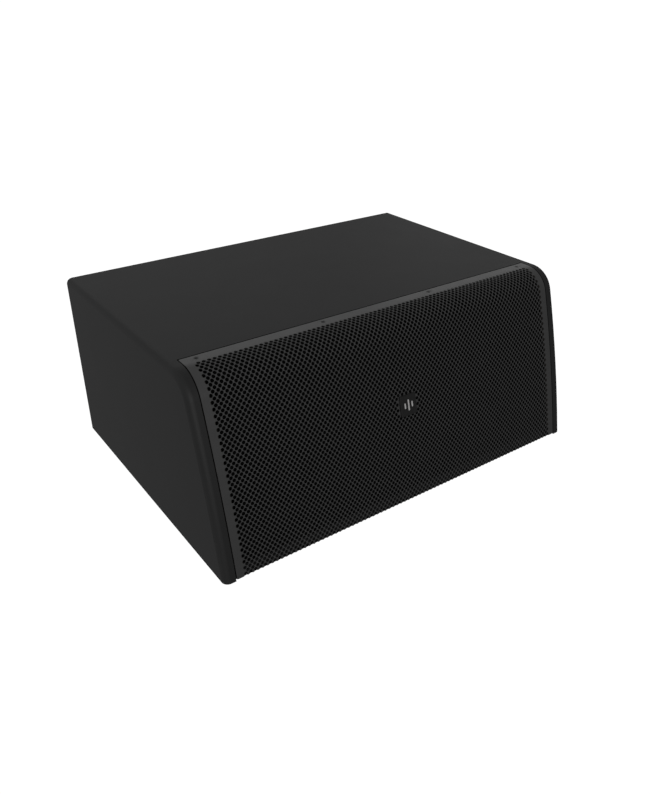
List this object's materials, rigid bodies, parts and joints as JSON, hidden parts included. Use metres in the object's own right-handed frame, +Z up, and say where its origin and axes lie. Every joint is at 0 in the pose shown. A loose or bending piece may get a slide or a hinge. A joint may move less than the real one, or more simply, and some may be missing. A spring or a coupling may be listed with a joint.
{
  "type": "stage monitor loudspeaker",
  "caption": "Low stage monitor: painted plywood cabinet, raked front under a rounded perforated steel grille, cone woofers, horn and ports behind it, recessed rear handle and sockets.",
  "frame": {"origin": "middle of the overall box, on the plane of the rubber feet", "axes": "+Z up; the grille faces -Y; +X is the right-hand side seen from the front"},
  "size_m": [0.7, 0.5098, 0.298],
  "materials": {
    "cabinet_paint": "smooth matt black paint on birch plywood",
    "inner_wood": "black stained plywood",
    "grille_steel": "satin black powder coat on perforated steel",
    "grille_foam": "open-cell black foam",
    "black_screws": "black zinc",
    "badge_plate": "satin black moulding",
    "badge_mark": "pale grey print",
    "gasket_rubber": "closed-cell gasket",
    "plated_steel": "zinc plated",
    "black_plastic": "moulded",
    "horn_plastic": "moulded",
    "ferrite": "ground ferrite",
    "diaphragm_metal": "thin drawn titanium",
    "circuit_board": "green laminate",
    "copper_wire": "enamelled copper",
    "capacitor_film": "wrapped film",
    "ceramic": "cement resistor",
    "dish_steel": "textured black powder coat",
    "grip_rubber": "matt",
    "socket_plastic": "glass-filled nylon",
    "foot_rubber": "matt",
    "lining_felt": "polyester wadding",
    "lead_sleeve": "sleeved twin lead",
    "cast_aluminium": "black coated casting",
    "surround_cloth": "doped cloth",
    "cone_paper": "coated paper",
    "spider_cloth": "phenolic treated cloth",
    "coil_wire": "copper-clad aluminium wire on a former"
  },
  "bodies": {
    "cabinet": {"badge_mark": "badge_mark", "badge_plate": "badge_plate", "baffle": "inner_wood", "basket_left": "cast_aluminium", "basket_right": "cast_aluminium", "bottom_panel": "cabinet_paint", "corner_battens": "inner_wood", "crossover_capacitors": "capacitor_film", "crossover_inductors": "copper_wire", "crossover_mounts": "plated_steel", "crossover_pcb": "circuit_board", "crossover_resistors": "ceramic", "damping_lining": "lining_felt", "feet": "foot_rubber", "grille": "grille_steel", "grille_foam": "grille_foam", "grille_rails": "inner_wood", "grille_screws": "black_screws", "handle_bar": "plated_steel", "handle_dish": "dish_steel", "handle_grip": "grip_rubber", "hf_clamp_ring": "black_plastic", "hf_cover": "black_plastic", "hf_magnet": "ferrite", "hf_pole_piece": "plated_steel", "hf_top_plate": "plated_steel", "horn": "horn_plastic", "horn_fasteners": "black_screws", "input_dish": "dish_steel", "magnet_left": "ferrite", "magnet_right": "ferrite", "panel_screws": "black_screws", "pole_piece_left": "plated_steel", "pole_piece_right": "plated_steel", "port_tubes": "horn_plastic", "rear_panel": "cabinet_paint", "side_panel_left": "cabinet_paint", "side_panel_right": "cabinet_paint", "socket_screws": "black_screws", "speaker_sockets": "socket_plastic", "spider_left": "spider_cloth", "spider_right": "spider_cloth", "surround_left": "surround_cloth", "surround_right": "surround_cloth", "tee_nuts": "plated_steel", "top_panel": "cabinet_paint", "top_plate_left": "plated_steel", "top_plate_right": "plated_steel", "window_brace": "inner_wood", "wiring": "lead_sleeve", "woofer_gaskets": "gasket_rubber", "woofer_screws": "black_screws", "woofer_terminals": "black_plastic"},
    "cone_assembly_left": {"cone_left": "cone_paper", "dust_cap_left": "cone_paper", "voice_coil_left": "coil_wire"},
    "cone_assembly_right": {"cone_right": "cone_paper", "dust_cap_right": "cone_paper", "voice_coil_right": "coil_wire"},
    "hf_diaphragm": {"hf_diaphragm": "diaphragm_metal"}
  },
  "joints": [
    {"name": "woofer_left_stroke", "type": "slide", "parent": "cabinet", "child": "cone_assembly_left", "axis": [0, -0.9063, 0.4226], "range_m": [-0.006, 0.006], "stiffness_N_per_m": 4000, "deforming": ["surround_left", "spider_left"]},
    {"name": "woofer_right_stroke", "type": "slide", "parent": "cabinet", "child": "cone_assembly_right", "axis": [0, -0.9063, 0.4226], "range_m": [-0.006, 0.006], "stiffness_N_per_m": 4000, "deforming": ["surround_right", "spider_right"]},
    {"name": "hf_diaphragm_stroke", "type": "slide", "parent": "cabinet", "child": "hf_diaphragm", "axis": [0, -0.9063, 0.4226], "range_m": [-0.0003, 0.0003], "stiffness_N_per_m": 3000}
  ]
}
